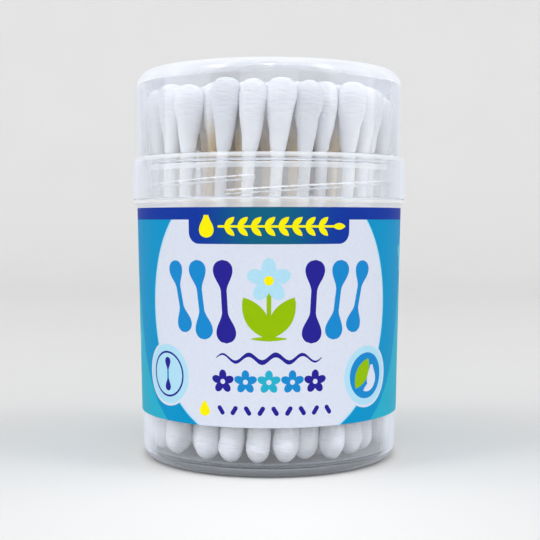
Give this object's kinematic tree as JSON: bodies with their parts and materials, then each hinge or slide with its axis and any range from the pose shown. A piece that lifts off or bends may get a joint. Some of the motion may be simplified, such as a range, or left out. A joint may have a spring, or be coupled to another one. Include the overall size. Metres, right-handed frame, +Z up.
{
  "type": "cotton swab tub",
  "caption": "Round clear plastic tub with a threaded neck, a milky screw-on lid, a printed film label and a standing bundle of two-ended cotton swabs",
  "frame": {"origin": "middle of the surface that the tub stands on, on the tub's axis", "axes": "+Z up along the tub's axis, front of the label towards -Y, +X to the right seen from the front"},
  "size_m": [0.0578, 0.0578, 0.0816],
  "materials": {
    "clear_plastic": "clear, glossy, slightly grey where it is thick",
    "milky_plastic": "milky translucent, satin gloss",
    "printed_film": "printed glossy film in blue, teal and pale lilac white",
    "stick_paper": "rolled white paper",
    "cotton": "wound cotton, soft matte white"
  },
  "bodies": {
    "tub": {"tub": "clear_plastic", "label": "printed_film", "swab_sticks_outer": "stick_paper", "swab_sticks_middle": "stick_paper", "swab_sticks_inner": "stick_paper", "cotton_tips_lower_outer": "cotton", "cotton_tips_lower_middle": "cotton", "cotton_tips_lower_inner": "cotton", "cotton_tips_upper_outer": "cotton", "cotton_tips_upper_middle": "cotton", "cotton_tips_upper_inner": "cotton"},
    "lid": {"lid": "milky_plastic"}
  },
  "joints": [
    {"name": "lid_lift", "type": "slide", "parent": "tub", "child": "lid", "axis": [0, 0, 1], "range_m": [0, 0.03]}
  ]
}
